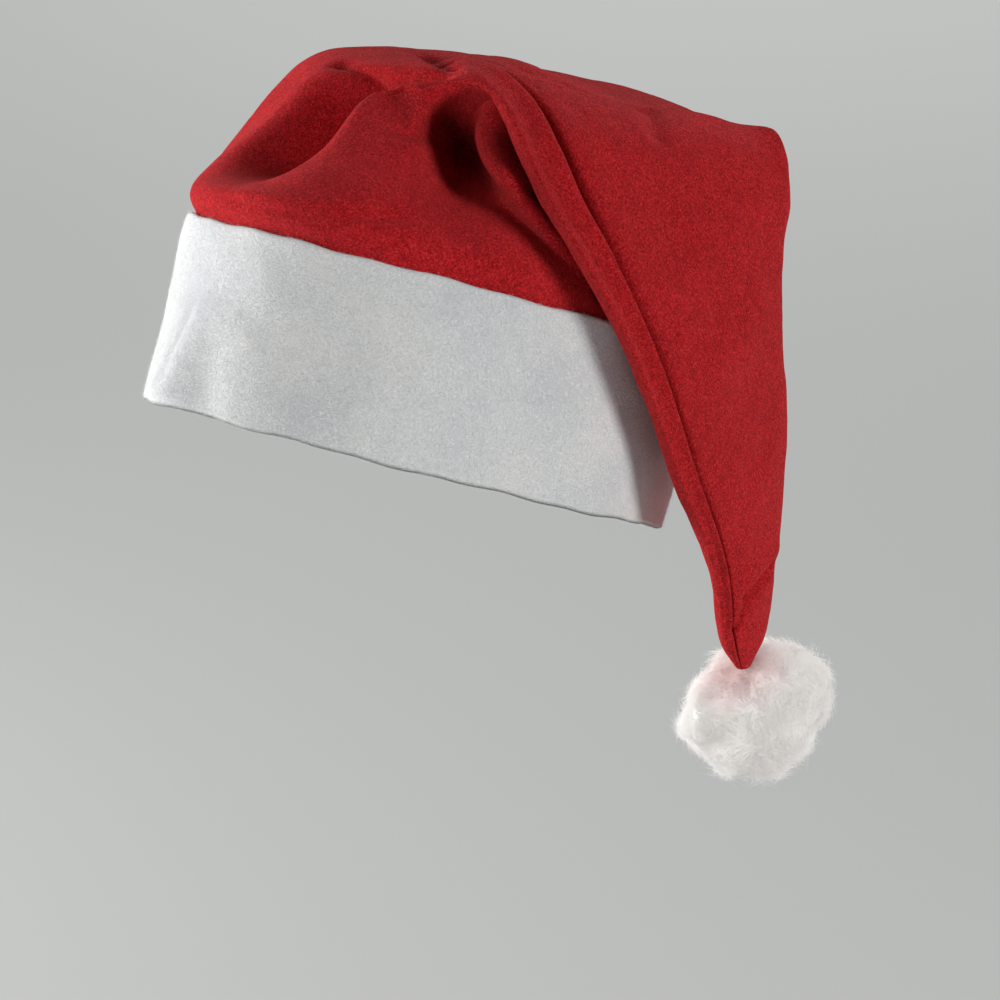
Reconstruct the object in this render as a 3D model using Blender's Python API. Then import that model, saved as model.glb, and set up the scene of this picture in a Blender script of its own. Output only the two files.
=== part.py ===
"""A felt Santa hat, modelled as it is worn.

Metres, +Z up. The wearer looks along -Y, so +X is the wearer's left. The origin is the centre of the
rim's opening, and the whole hat is tipped back about it. The crown buckles on its way over to the left,
and the rest of the cone hangs flat below the rim with a pompom on its tip.
"""

import math
from typing import NamedTuple

import bmesh
import bpy
import numpy as np

TIP_BACK = math.radians(20.0)
RIM_HALF_LENGTH = 0.105
RIM_HALF_WIDTH = 0.085
BAND_HEIGHT = 0.068
BAND_WALL = 0.0026
FELT_WALL = 0.0014

# Where the cloth bends tightly, its wall is at most this share of the shortest edge there.
TIGHTEST_BEND = 2.0
GAP = 0.0004
WELD = 0.00001

# A point on the cone is named by its turn in degrees, from the front over the wearer's left, and by how
# far up the cloth it lies. One degree counts as this many metres of cloth where a fold's width is measured.
CLOTH_PER_DEGREE = 0.0012

# The cone is held smooth where it is sewn inside the band, and its folds come in over this much of the
# cloth above.
FOLDS_START = 0.008

POMPOM_CENTRE = (0.088, 0.092, -0.091)
POMPOM_RADIUS = 0.0245
POMPOM_SMALL_LOCKS = 30
POMPOM_SMALL_HEIGHT = 0.0022
POMPOM_SMALL_SPREAD = 0.26
TIP_POCKET_START = 0.325

RED_FELT = (0.40, 0.012, 0.016)
WHITE_FELT = (0.72, 0.72, 0.71)
WHITE_FLUFF = (0.80, 0.78, 0.76)
FELT_ROUGHNESS = 0.95


class Section(NamedTuple):
    """One section of the cone: its centre, and the ways from there to its front edge and to its left side.

    A roundness of 1 is an oval, and less than 1 is a flattened tube with blunter edges.
    """

    up: float
    centre: tuple[float, float, float]
    to_front: tuple[float, float, float]
    to_left: tuple[float, float, float]
    roundness: float


class Fold(NamedTuple):
    """A ridge or a dent along a line on the cloth, from one named point to another."""

    name: str
    start_turn: float
    start_up: float
    end_turn: float
    end_up: float
    bow: float
    start_width: float
    end_width: float
    lean: float
    peak: float
    flatness: float
    push: tuple[float, float, float]


class Span(NamedTuple):
    """A stretch of even steps."""

    start: float
    end: float
    steps: int


class Lock(NamedTuple):
    """A bulge of the pompom, or a hollow where its height is negative."""

    name: str
    toward: tuple[float, float, float]
    height: float
    spread: float


CONE_SECTIONS = (
    Section(-0.009, (0.0, 0.0202, 0.0554), (0.0, -0.0957, 0.0348), (0.0819, 0.0, 0.0), 1.0),
    Section(-0.001, (0.0, 0.0230, 0.0630), (0.0, -0.0957, 0.0348), (0.0819, 0.0, 0.0), 1.0),
    Section(0.006, (0.0, 0.0250, 0.0695), (0.0, -0.0972, 0.0345), (0.0830, 0.0, 0.0), 1.0),
    Section(0.025, (-0.005, 0.0310, 0.0860), (0.005, -0.0990, 0.0280), (0.0780, 0.0, 0.0), 1.0),
    Section(0.050, (-0.006, 0.0390, 0.1030), (0.006, -0.0870, 0.0230), (0.0660, -0.003, -0.004), 1.0),
    Section(0.080, (-0.001, 0.0480, 0.1190), (0.003, -0.0760, 0.0200), (0.0510, -0.007, -0.012), 1.0),
    Section(0.110, (0.019, 0.0540, 0.1255), (-0.001, -0.0680, 0.0175), (0.0290, -0.008, -0.0115), 1.0),
    Section(0.145, (0.0500, 0.0520, 0.1295), (-0.0105, -0.0520, 0.0155), (0.0080, -0.002, -0.0070), 0.8),
    Section(0.162, (0.0620, 0.0545, 0.1245), (-0.0100, -0.0560, 0.0125), (0.0030, -0.001, -0.0065), 0.7),
    Section(0.177, (0.0705, 0.0535, 0.1150), (-0.0085, -0.0575, 0.0105), (-0.0040, 0.0, -0.0055), 0.7),
    Section(0.190, (0.0780, 0.0525, 0.1025), (-0.0050, -0.0565, 0.0080), (-0.0060, 0.0, -0.0030), 0.7),
    Section(0.210, (0.0855, 0.0520, 0.0870), (0.0005, -0.0520, 0.0055), (-0.0058, 0.0, -0.0005), 0.65),
    Section(0.250, (0.0915, 0.0590, 0.0500), (0.0035, -0.0420, 0.0060), (-0.0060, 0.0, 0.0), 0.65),
    Section(0.290, (0.0915, 0.0715, 0.0090), (0.005, -0.0335, 0.001), (-0.0062, 0.0, 0.0), 0.65),
    Section(0.330, (0.0900, 0.0815, -0.0330), (0.003, -0.0190, 0.0), (-0.0058, 0.0, 0.0), 0.7),
    Section(0.360, (0.0890, 0.0835, -0.0670), (0.001, -0.0085, 0.0), (-0.0045, 0.0, 0.0), 0.9),
    Section(0.366, (0.0890, 0.0840, -0.0730), (0.001, -0.0045, 0.0), (-0.0030, 0.0, 0.0), 1.0),
)

CONE_FOLDS = (
    Fold("band bulge", -95, 0.010, 95, 0.010, 0.0, 0.013, 0.013, 0.0, 0.5, 2.0, (-0.002, -0.003, 0.001)),
    Fold("far ridge", -62, 0.010, -42, 0.150, 0.0, 0.014, 0.014, 0.0, 0.35, 2.0, (-0.005, -0.006, 0.003)),
    Fold("bowl", -20, 0.012, -12, 0.142, 0.004, 0.018, 0.013, 0.2, 0.45, 2.5, (0.008, 0.018, -0.026)),
    Fold("near lip", 14, 0.030, 8, 0.142, 0.0, 0.012, 0.010, -0.5, 0.6, 1.6, (-0.005, 0.002, 0.005)),
    Fold("pocket", 60, 0.012, 14, 0.148, 0.004, 0.015, 0.011, 0.0, 0.5, 3.5, (-0.015, 0.026, -0.013)),
    Fold("lip's edge", 46, 0.030, 8, 0.134, -0.004, 0.008, 0.007, 0.0, 0.5, 2.0, (0.006, 0.002, 0.001)),
    Fold("petal", 77, 0.005, 40, 0.138, 0.010, 0.011, 0.011, 0.3, 0.42, 2.0, (0.010, -0.016, 0.006)),
    Fold("petal's edge", 71, 0.015, 33, 0.134, 0.010, 0.006, 0.006, 0.0, 0.45, 2.0, (-0.0006, -0.0038, 0.0)),
    Fold("petal gap", 94, 0.000, 85, 0.056, 0.0, 0.007, 0.006, 0.0, 0.5, 2.0, (-0.006, 0.012, -0.006)),
    Fold("petal's foot", 58, 0.048, 86, -0.004, 0.0, 0.0045, 0.0045, 0.0, 0.4, 1.5, (-0.003, 0.006, -0.002)),
    Fold("ridge dip", -72, 0.110, -130, 0.156, 0.0, 0.028, 0.028, 0.0, 0.5, 2.0, (0.0, 0.0, -0.0048)),
    Fold("front roll", -12, 0.140, -12, 0.366, 0.0, 0.008, 0.008, 0.0, 0.2, 2.0, (0.003, -0.002, 0.001)),
    Fold("seam", -42, 0.150, -42, 0.350, 0.0, 0.0022, 0.0022, 0.0, 0.2, 2.0, (-0.0016, 0.0, 0.0)),
    Fold("back corner", 140, 0.168, 220, 0.168, 0.0, 0.015, 0.015, 0.0, 0.5, 2.0, (0.0, 0.001, 0.0065)),
)

BAND_FOLDS = (
    Fold("brow buckle", -14, -0.010, -10, 0.050, 0.0, 0.014, 0.010, 0.0, 0.3, 2.0, (0.0, -0.006, 0.001)),
    Fold("brow crease", 4, -0.010, -2, 0.045, 0.0, 0.008, 0.006, 0.0, 0.3, 2.0, (0.0, 0.003, 0.0)),
    Fold("left swell", 62, 0.0, 50, 0.070, 0.0, 0.022, 0.018, 0.0, 0.5, 2.0, (0.002, -0.0015, 0.0)),
)

COLUMNS = (Span(-62, -46, 3), Span(-46, -38, 4), Span(-38, -30, 2), Span(-30, 90, 22), Span(90, 298, 16))
CONE_ROWS = (Span(-0.009, 0.006, 3), Span(0.006, 0.150, 20), Span(0.150, 0.214, 8), Span(0.214, 0.366, 12))
BAND_ROWS = (Span(0.0, BAND_HEIGHT, 6),)

POMPOM_LOCKS = (
    Lock("upper right", (0.49, 0.72, 0.48), 0.0050, 0.55),
    Lock("lower left", (-0.60, -0.75, -0.25), 0.0040, 0.50),
    Lock("bottom", (0.14, -0.25, -0.95), 0.0010, 0.50),
    Lock("lower right hollow", (0.71, 0.62, -0.33), -0.0022, 0.35),
    Lock("left hollow", (-0.70, -0.60, 0.35), -0.0020, 0.30),
    Lock("hollow round the tip", (0.05, -0.45, 0.90), -0.0060, 0.50),
)


def clear_scene():
    for obj in list(bpy.data.objects):
        bpy.data.objects.remove(obj)


def material(name, colour):
    made = bpy.data.materials.new(name)
    made.use_nodes = True
    shader = made.node_tree.nodes["Principled BSDF"]
    shader.inputs["Base Color"].default_value = (*colour, 1.0)
    shader.inputs["Roughness"].default_value = FELT_ROUGHNESS
    shader.inputs["Metallic"].default_value = 0.0
    return made


def along_rows(knots, rows, at):
    """A smooth curve through rows of numbers, read at the given places."""
    knots = np.asarray(knots, float)
    rows = np.asarray(rows, float)
    steps = np.diff(knots)
    runs = np.diff(rows, axis=0) / steps[:, None]
    share = (steps[1:] / (steps[:-1] + steps[1:]))[:, None]
    slopes = np.concatenate([runs[:1], runs[:-1] * share + runs[1:] * (1.0 - share), runs[-1:]])
    at = np.clip(at, knots[0], knots[-1])
    index = np.clip(np.searchsorted(knots, at, side="right") - 1, 0, len(steps) - 1)
    step = steps[index][:, None]
    part = (at[:, None] - knots[index][:, None]) / step
    return (
        (2 * part**3 - 3 * part**2 + 1) * rows[index]
        + (part**3 - 2 * part**2 + part) * step * slopes[index]
        + (3 * part**2 - 2 * part**3) * rows[index + 1]
        + (part**3 - part**2) * step * slopes[index + 1]
    )


def eased(part):
    part = np.clip(part, 0.0, 1.0)
    return part * part * (3.0 - 2.0 * part)


def fold_push(fold, turn, up):
    """How far a fold moves each point of the cloth."""
    middle = (fold.start_turn + fold.end_turn) / 2
    around = ((turn - middle + 180.0) % 360.0 - 180.0 + middle) * CLOTH_PER_DEGREE
    start = fold.start_turn * CLOTH_PER_DEGREE
    run = fold.end_turn * CLOTH_PER_DEGREE - start
    rise = fold.end_up - fold.start_up
    length = math.hypot(run, rise)
    along = ((around - start) * run + (up - fold.start_up) * rise) / length**2
    part = np.clip(along, 0.0, 1.0)
    bowed = fold.bow * 4 * part * (1 - part)
    across = ((around - start) * rise - (up - fold.start_up) * run) / length - bowed
    width = fold.start_width + (fold.end_width - fold.start_width) * part
    width = width * (1 + fold.lean * np.sign(across))
    amount = eased(np.where(part < fold.peak, part / fold.peak, (1 - part) / (1 - fold.peak)))
    amount = amount * np.exp(-(np.abs(across / width) ** fold.flatness))
    return amount[:, None] * np.asarray(fold.push)


def folded(points, folds, turn, up):
    """The points moved by every fold."""
    return points + sum(fold_push(fold, turn, up) for fold in folds)


def on_cone(turn, up, grown=0.0):
    """Points of the cone's outer face, or of a face that lies outside it by the distance grown."""
    rows = [[*row.centre, *row.to_front, *row.to_left, row.roundness] for row in CONE_SECTIONS]
    values = along_rows([row.up for row in CONE_SECTIONS], rows, up)
    centre, to_front, to_left, roundness = values[:, 0:3], values[:, 3:6], values[:, 6:9], values[:, 9]
    to_front = to_front * (1 + grown / np.linalg.norm(to_front, axis=1, keepdims=True))
    to_left = to_left * (1 + grown / np.linalg.norm(to_left, axis=1, keepdims=True))
    ahead = np.cos(np.radians(turn))[:, None]
    sideways = np.sin(np.radians(turn))
    sideways = (np.sign(sideways) * np.abs(sideways) ** roundness)[:, None]
    plain = centre + to_front * ahead + to_left * sideways
    loose = eased(up / FOLDS_START)[:, None]
    return plain + (folded(plain, CONE_FOLDS, turn, up) - plain) * loose


def on_band(turn, up):
    """Points of the band's outer face, with up measured along the band's axis from the rim."""
    angle = np.radians(turn)
    forward = RIM_HALF_LENGTH * np.cos(angle)
    points = np.stack(
        [
            RIM_HALF_WIDTH * np.sin(angle),
            up * math.sin(TIP_BACK) - forward * math.cos(TIP_BACK),
            up * math.cos(TIP_BACK) + forward * math.sin(TIP_BACK),
        ],
        axis=1,
    )
    return folded(points, BAND_FOLDS, turn, up)


def steps_of(spans):
    """Every value from the first span's start to the last one's end."""
    values = [spans[0].start]
    for span in spans:
        values.extend(span.start + (span.end - span.start) * (k + 1) / span.steps for k in range(span.steps))
    return np.array(values)


def tube(turns, ups, place):
    """A grid wrapped once round, whose place for each turn and height comes from a function."""
    bm = bmesh.new()
    bmesh.ops.create_grid(bm, x_segments=len(turns) - 1, y_segments=len(ups) - 1, size=0.5)
    column = [round((vert.co.x + 0.5) * (len(turns) - 1)) for vert in bm.verts]
    row = [round((vert.co.y + 0.5) * (len(ups) - 1)) for vert in bm.verts]
    for vert, point in zip(bm.verts, place(turns[column], ups[row])):
        vert.co = point
    bmesh.ops.remove_doubles(bm, verts=bm.verts, dist=WELD)
    return bm


def rim_loops(bm):
    """The open edges, as a list for each hole."""
    open_edges = {edge for edge in bm.edges if edge.is_boundary}
    loops = []
    while open_edges:
        loop = [open_edges.pop()]
        for edge in loop:
            reached = {other for vert in edge.verts for other in vert.link_edges if other in open_edges}
            loop.extend(reached)
            open_edges -= reached
        loops.append(loop)
    return loops


def close_hole(bm, loop):
    """A hole closed by a fan of faces round its middle."""
    face = bmesh.ops.contextual_create(bm, geom=loop)["faces"]
    bmesh.ops.poke(bm, faces=face)


def lowest(loop):
    return min(vert.co.z for edge in loop for vert in edge.verts)


def object_from(bm, name, finish):
    bmesh.ops.recalc_face_normals(bm, faces=bm.faces)
    mesh = bpy.data.meshes.new(name)
    bm.to_mesh(mesh)
    bm.free()
    mesh.shade_smooth()
    mesh.materials.append(finish)
    made = bpy.data.objects.new(name, mesh)
    bpy.context.scene.collection.objects.link(made)
    return made


def thicken(obj, wall):
    """Gives a sheet its wall, inside the face that was modelled."""
    solidify = obj.modifiers.new("wall", "SOLIDIFY")
    solidify.thickness = wall
    solidify.offset = -1.0
    solidify.thickness_clamp = TIGHTEST_BEND


def crown_cone():
    """The red felt cone: open at the band, closed at the tip."""
    bm = tube(steps_of(COLUMNS), steps_of(CONE_ROWS), on_cone)
    close_hole(bm, min(rim_loops(bm), key=lowest))
    cone = object_from(bm, "crown_cone", material("red felt", RED_FELT))
    thicken(cone, FELT_WALL)


def band():
    """The white felt band, sewn over the cone's lower edge."""
    bm = tube(steps_of(COLUMNS), steps_of(BAND_ROWS), on_band)
    ring = object_from(bm, "band", material("white felt", WHITE_FELT))
    thicken(ring, BAND_WALL)


def small_locks():
    """Even small locks all over the pompom, on a spiral of equal areas."""
    golden_angle = math.pi * (3 - math.sqrt(5))
    for k in range(POMPOM_SMALL_LOCKS):
        z = 1 - (2 * k + 1) / POMPOM_SMALL_LOCKS
        level = math.sqrt(1 - z * z)
        toward = (level * math.cos(k * golden_angle), level * math.sin(k * golden_angle), z)
        yield Lock(f"small lock {k}", toward, POMPOM_SMALL_HEIGHT, POMPOM_SMALL_SPREAD)


def lock_height(lock, direction):
    toward = np.asarray(lock.toward) / np.linalg.norm(lock.toward)
    angle = np.arccos(np.clip(direction @ toward, -1.0, 1.0))
    return lock.height * np.exp(-((angle / lock.spread) ** 2))


def tip_cutter():
    """The end of the cone, a gap larger all round, which leaves the pocket that the tip is sewn into."""
    ups = steps_of(CONE_ROWS)
    below = np.array([0.0, 0.0, GAP])
    bm = tube(steps_of(COLUMNS), ups[ups > TIP_POCKET_START], lambda turn, up: on_cone(turn, up, GAP) - below)
    for loop in rim_loops(bm):
        close_hole(bm, loop)
    cutter = object_from(bm, "tip_cutter", material("cutter", WHITE_FELT))
    cutter.hide_render = True
    cutter.display_type = "WIRE"
    return cutter


def pompom():
    """The fluffy pompom, its locks fused into one body round the cone's tip."""
    bm = bmesh.new()
    bmesh.ops.create_icosphere(bm, subdivisions=4, radius=1.0)
    directions = np.array([vert.co.normalized() for vert in bm.verts])
    heights = sum(lock_height(lock, directions) for lock in (*POMPOM_LOCKS, *small_locks()))
    points = np.asarray(POMPOM_CENTRE) + directions * (POMPOM_RADIUS + heights)[:, None]
    for vert, point in zip(bm.verts, points):
        vert.co = point
    ball = object_from(bm, "pompom", material("white fluff", WHITE_FLUFF))
    pocket = ball.modifiers.new("pocket", "BOOLEAN")
    pocket.operation = "DIFFERENCE"
    pocket.solver = "EXACT"
    pocket.object = tip_cutter()


def main():
    clear_scene()
    crown_cone()
    band()
    pompom()


main()
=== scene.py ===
"""A felt Santa hat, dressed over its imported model.

Metres, +Z up. The wearer looks along -Y, so +X is the wearer's left. A point of the cloth is named by its
turn in degrees, from the front over the wearer's left, and by how far up the cloth it lies.
"""

import logging
import math
from dataclasses import dataclass
from enum import Enum
from typing import Callable, NamedTuple, Sequence

import bmesh
import bpy
import numpy as np
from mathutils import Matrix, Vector, noise


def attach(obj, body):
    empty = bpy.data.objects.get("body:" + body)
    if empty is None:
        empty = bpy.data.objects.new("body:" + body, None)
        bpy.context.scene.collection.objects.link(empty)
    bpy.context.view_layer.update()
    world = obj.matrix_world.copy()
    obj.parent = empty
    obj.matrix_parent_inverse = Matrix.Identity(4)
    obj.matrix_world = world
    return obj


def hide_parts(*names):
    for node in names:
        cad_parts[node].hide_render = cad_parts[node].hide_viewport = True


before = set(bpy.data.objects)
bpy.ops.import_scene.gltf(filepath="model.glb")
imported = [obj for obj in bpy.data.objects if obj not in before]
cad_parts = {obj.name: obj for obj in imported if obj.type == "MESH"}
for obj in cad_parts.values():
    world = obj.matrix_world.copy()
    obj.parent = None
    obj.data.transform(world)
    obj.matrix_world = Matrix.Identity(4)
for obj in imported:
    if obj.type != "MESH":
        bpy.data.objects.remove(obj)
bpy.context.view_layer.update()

log = logging.getLogger("santa_hat")

Colour = tuple[float, float, float]
Point = tuple[float, float, float]
Place = Callable[[np.ndarray, np.ndarray], np.ndarray]

TIP_BACK = math.radians(20.0)
RIM_HALF_LENGTH = 0.105
RIM_HALF_WIDTH = 0.085
BAND_HEIGHT = 0.068
BAND_WALL = 0.0026
FELT_WALL = 0.0014

# Points of a sheet that lie nearer than this are one, and no vector counts as shorter than the tiny length.
WELD = 0.00001
TINY = 1e-12

# One degree of turn counts as this many metres of cloth where a fold's width is measured.
CLOTH_PER_DEGREE = 0.0012

# The cone is held smooth where it is sewn inside the band, and its folds come in over this much of the
# cloth above.
FOLDS_START = 0.008

# A crease fades out over this share of its length at each end.
CREASE_FADE = 0.2


class Section(NamedTuple):
    """One section of the cone: its centre, and the ways from there to its front edge and to its left side.

    A roundness of 1 is an oval, and less is fuller towards the corners.
    """

    up: float
    centre: Point
    to_front: Point
    to_left: Point
    roundness: float


class Fold(NamedTuple):
    """A ridge or a dent along a line on the cloth.

    The line's middle lies aside by the bow, and both widths are metres of cloth. The lean widens one side of
    the line and narrows the other. The push is whole at the peak, a share of the way along, and a higher
    flatness gives a flatter middle with steeper sides.
    """

    name: str
    start_turn: float
    start_up: float
    end_turn: float
    end_up: float
    bow: float
    start_width: float
    end_width: float
    lean: float
    peak: float
    flatness: float
    push: Point


class Crease(NamedTuple):
    """A fine wrinkle along a line on the cloth, with its depth along the cloth's own normal."""

    name: str
    start_turn: float
    start_up: float
    end_turn: float
    end_up: float
    bow: float
    width: float
    depth: float


class Span(NamedTuple):
    """A stretch of even steps."""

    start: float
    end: float
    steps: int


class Lock(NamedTuple):
    """A bulge of the pompom, or a hollow where its height is negative."""

    name: str
    toward: Point
    height: float
    spread: float


CONE_SECTIONS = (
    Section(-0.009, (0.0, 0.0202, 0.0554), (0.0, -0.0957, 0.0348), (0.0819, 0.0, 0.0), 1.0),
    Section(-0.001, (0.0, 0.0230, 0.0630), (0.0, -0.0957, 0.0348), (0.0819, 0.0, 0.0), 1.0),
    Section(0.006, (0.0, 0.0250, 0.0695), (0.0, -0.0972, 0.0345), (0.0830, 0.0, 0.0), 1.0),
    Section(0.025, (-0.005, 0.0310, 0.0860), (0.005, -0.0990, 0.0280), (0.0780, 0.0, 0.0), 1.0),
    Section(0.050, (-0.006, 0.0390, 0.1030), (0.006, -0.0870, 0.0230), (0.0660, -0.003, -0.004), 1.0),
    Section(0.080, (-0.001, 0.0480, 0.1190), (0.003, -0.0760, 0.0200), (0.0510, -0.007, -0.012), 1.0),
    Section(0.110, (0.019, 0.0540, 0.1255), (-0.001, -0.0680, 0.0175), (0.0290, -0.008, -0.0115), 1.0),
    Section(0.145, (0.0500, 0.0520, 0.1295), (-0.0105, -0.0520, 0.0155), (0.0080, -0.002, -0.0070), 0.8),
    Section(0.162, (0.0620, 0.0545, 0.1245), (-0.0100, -0.0560, 0.0125), (0.0030, -0.001, -0.0065), 0.7),
    Section(0.177, (0.0705, 0.0535, 0.1150), (-0.0085, -0.0575, 0.0105), (-0.0040, 0.0, -0.0055), 0.7),
    Section(0.190, (0.0780, 0.0525, 0.1025), (-0.0050, -0.0565, 0.0080), (-0.0060, 0.0, -0.0030), 0.7),
    Section(0.210, (0.0855, 0.0520, 0.0870), (0.0005, -0.0520, 0.0055), (-0.0058, 0.0, -0.0005), 0.65),
    Section(0.250, (0.0915, 0.0590, 0.0500), (0.0035, -0.0420, 0.0060), (-0.0060, 0.0, 0.0), 0.65),
    Section(0.290, (0.0915, 0.0715, 0.0090), (0.005, -0.0335, 0.001), (-0.0062, 0.0, 0.0), 0.65),
    Section(0.330, (0.0900, 0.0815, -0.0330), (0.003, -0.0190, 0.0), (-0.0058, 0.0, 0.0), 0.7),
    Section(0.360, (0.0890, 0.0835, -0.0670), (0.001, -0.0085, 0.0), (-0.0045, 0.0, 0.0), 0.9),
    Section(0.366, (0.0890, 0.0840, -0.0730), (0.001, -0.0045, 0.0), (-0.0030, 0.0, 0.0), 1.0),
)

CONE_FOLDS = (
    Fold("band bulge", -95, 0.010, 95, 0.010, 0.0, 0.013, 0.013, 0.0, 0.5, 2.0, (-0.002, -0.003, 0.001)),
    Fold("far ridge", -62, 0.010, -42, 0.150, 0.0, 0.014, 0.014, 0.0, 0.35, 2.0, (-0.005, -0.006, 0.003)),
    Fold("bowl", -20, 0.012, -12, 0.142, 0.004, 0.018, 0.013, 0.2, 0.45, 2.5, (0.008, 0.018, -0.026)),
    Fold("near lip", 14, 0.030, 8, 0.142, 0.0, 0.012, 0.010, -0.5, 0.6, 1.6, (-0.005, 0.002, 0.005)),
    Fold("pocket", 60, 0.012, 14, 0.148, 0.004, 0.015, 0.011, 0.0, 0.5, 3.5, (-0.015, 0.026, -0.013)),
    Fold("lip's edge", 46, 0.030, 8, 0.134, -0.004, 0.008, 0.007, 0.0, 0.5, 2.0, (0.006, 0.002, 0.001)),
    Fold("petal", 77, 0.005, 40, 0.138, 0.010, 0.011, 0.011, 0.3, 0.42, 2.0, (0.010, -0.016, 0.006)),
    Fold("petal's edge", 71, 0.015, 33, 0.134, 0.010, 0.006, 0.006, 0.0, 0.45, 2.0, (-0.0006, -0.0038, 0.0)),
    Fold("petal gap", 94, 0.000, 85, 0.056, 0.0, 0.007, 0.006, 0.0, 0.5, 2.0, (-0.006, 0.012, -0.006)),
    Fold("petal's foot", 58, 0.048, 86, -0.004, 0.0, 0.0045, 0.0045, 0.0, 0.4, 1.5, (-0.003, 0.006, -0.002)),
    Fold("ridge dip", -72, 0.110, -130, 0.156, 0.0, 0.028, 0.028, 0.0, 0.5, 2.0, (0.0, 0.0, -0.0048)),
    Fold("front roll", -12, 0.140, -12, 0.366, 0.0, 0.008, 0.008, 0.0, 0.2, 2.0, (0.003, -0.002, 0.001)),
    Fold("back corner", 140, 0.168, 220, 0.168, 0.0, 0.015, 0.015, 0.0, 0.5, 2.0, (0.0, 0.001, 0.0065)),
)

BAND_FOLDS = (
    Fold("brow buckle", -14, -0.010, -10, 0.050, 0.0, 0.014, 0.010, 0.0, 0.3, 2.0, (0.0, -0.006, 0.001)),
    Fold("brow crease", 4, -0.010, -2, 0.045, 0.0, 0.008, 0.006, 0.0, 0.3, 2.0, (0.0, 0.003, 0.0)),
    Fold("left swell", 62, 0.0, 50, 0.070, 0.0, 0.022, 0.018, 0.0, 0.5, 2.0, (0.002, -0.0015, 0.0)),
)

CONE_CREASES = (
    Crease("seam groove", -40, 0.104, -40, 0.378, -0.005, 0.0034, -0.0033),
    Crease("seam stitches", -41, 0.104, -41, 0.378, -0.005, 0.0013, -0.0021),
    Crease("seam's raised side", -34, 0.104, -34, 0.378, -0.005, 0.0055, 0.0018),
    Crease("gap beside the petal", 92, -0.004, 77, 0.066, 0.0, 0.0055, -0.0100),
    Crease("ridge edge", -52, 0.136, -92, 0.156, 0.0, 0.0035, -0.0016),
    Crease("top dent", -84, 0.149, -100, 0.156, 0.0, 0.0045, -0.0026),
    Crease("top notch", -106, 0.150, -86, 0.178, 0.0, 0.0040, -0.0024),
    Crease("far dart", -38, 0.082, -18, 0.098, 0.0, 0.0045, -0.0028),
    Crease("bowl dart", -56, 0.110, -16, 0.132, 0.0, 0.0045, -0.0034),
    Crease("lip dent", 6, 0.104, 30, 0.064, 0.0, 0.0060, -0.0028),
    Crease("front wrinkle", -6, 0.009, 26, 0.013, 0.0, 0.0030, -0.0014),
    Crease("front swell", -6, 0.016, 30, 0.022, 0.0, 0.0050, 0.0010),
    Crease("lower front wrinkle", 22, 0.014, 46, 0.026, 0.0, 0.0040, -0.0012),
    Crease("elbow wrinkle", -140, 0.3325, -58, 0.3415, 0.0, 0.0022, -0.0032),
    Crease("elbow swell", -160, 0.327, -64, 0.335, 0.0, 0.0036, 0.0012),
    Crease("lower seam wrinkle", -70, 0.344, -28, 0.352, 0.0, 0.0024, -0.0014),
    Crease("tail wrinkle", -130, 0.286, -84, 0.300, 0.0, 0.0060, -0.0012),
    Crease("tail swell", -140, 0.230, -70, 0.262, 0.0, 0.0120, 0.0012),
    Crease("upper tail hollow", -90, 0.196, -64, 0.222, 0.0, 0.0100, -0.0012),
)

BAND_CREASES = (
    Crease("brow line", -13, 0.008, -11, 0.040, 0.0, 0.0026, -0.0011),
    Crease("brow fill", 4, -0.010, -2, 0.045, 0.0, 0.0080, 0.0014),
    Crease("front hollow", 30, 0.010, 24, 0.070, 0.0, 0.0120, -0.0012),
    Crease("left hollow", 82, -0.004, 74, 0.060, 0.0, 0.0100, -0.0012),
)

CONE_COLUMNS = (Span(-62, -50, 8), Span(-50, -34, 34), Span(-34, 90, 90), Span(90, 298, 76))
CONE_ROWS = (
    Span(-0.009, 0.006, 8),
    Span(0.006, 0.150, 84),
    Span(0.150, 0.214, 34),
    Span(0.214, 0.324, 45),
    Span(0.324, 0.366, 42),
)
BAND_COLUMNS = (Span(-62, 90, 150), Span(90, 298, 120))
BAND_FACE_ROWS = 34
BAND_EDGE_ROWS = 6

POMPOM_CENTRE = (0.088, 0.092, -0.091)
POMPOM_RADIUS = 0.0245
POMPOM_LOCKS = (
    Lock("upper right", (0.49, 0.72, 0.48), 0.0050, 0.55),
    Lock("lower left", (-0.60, -0.75, -0.25), 0.0040, 0.50),
    Lock("bottom", (0.14, -0.25, -0.95), 0.0010, 0.50),
    Lock("lower right hollow", (0.71, 0.62, -0.33), -0.0022, 0.35),
    Lock("left hollow", (-0.70, -0.60, 0.35), -0.0020, 0.30),
    Lock("hollow round the tip", (0.05, -0.45, 0.90), -0.0060, 0.50),
)

# Painted red bounce light: round the cone's tip the pompom's colour turns pink, as light from the red felt
# falls on it.
TIP = (0.089, 0.080, -0.072)
TIP_RED_BOUNCE = (0.80, 0.30, 0.30)
TIP_RED_BOUNCE_REACH = 0.021
TIP_RED_BOUNCE_SHARE = 0.4

# Without a seed of its own, the noise that swirls the pompom's fibres differs from run to run.
FLUFF_SEED = 21


class Wave(NamedTuple):
    """One octave of the cloth's soft unevenness."""

    size: float
    height: float


CONE_WAVES = (Wave(0.034, 0.0010), Wave(0.013, 0.00040), Wave(0.005, 0.00012))
BAND_WAVES = (Wave(0.036, 0.0013), Wave(0.012, 0.00045), Wave(0.004, 0.00016))
POMPOM_WAVES = (Wave(0.010, 0.0016), Wave(0.0045, 0.0008))


class Ripple(NamedTuple):
    """A slow rise and fall of the band's edges: its height, its count round the rim and where it starts."""

    height: float
    count: float
    start: float


EDGE_RIPPLES = (Ripple(0.0006, 9.0, 0.0), Ripple(0.0005, 23.0, 50.0))


class Grain(NamedTuple):
    """One noise of a finish: its waves in a metre, its finer octaves and their strength, and its swirl."""

    scale: float
    detail: float
    roughness: float
    distortion: float = 0.0


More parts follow.
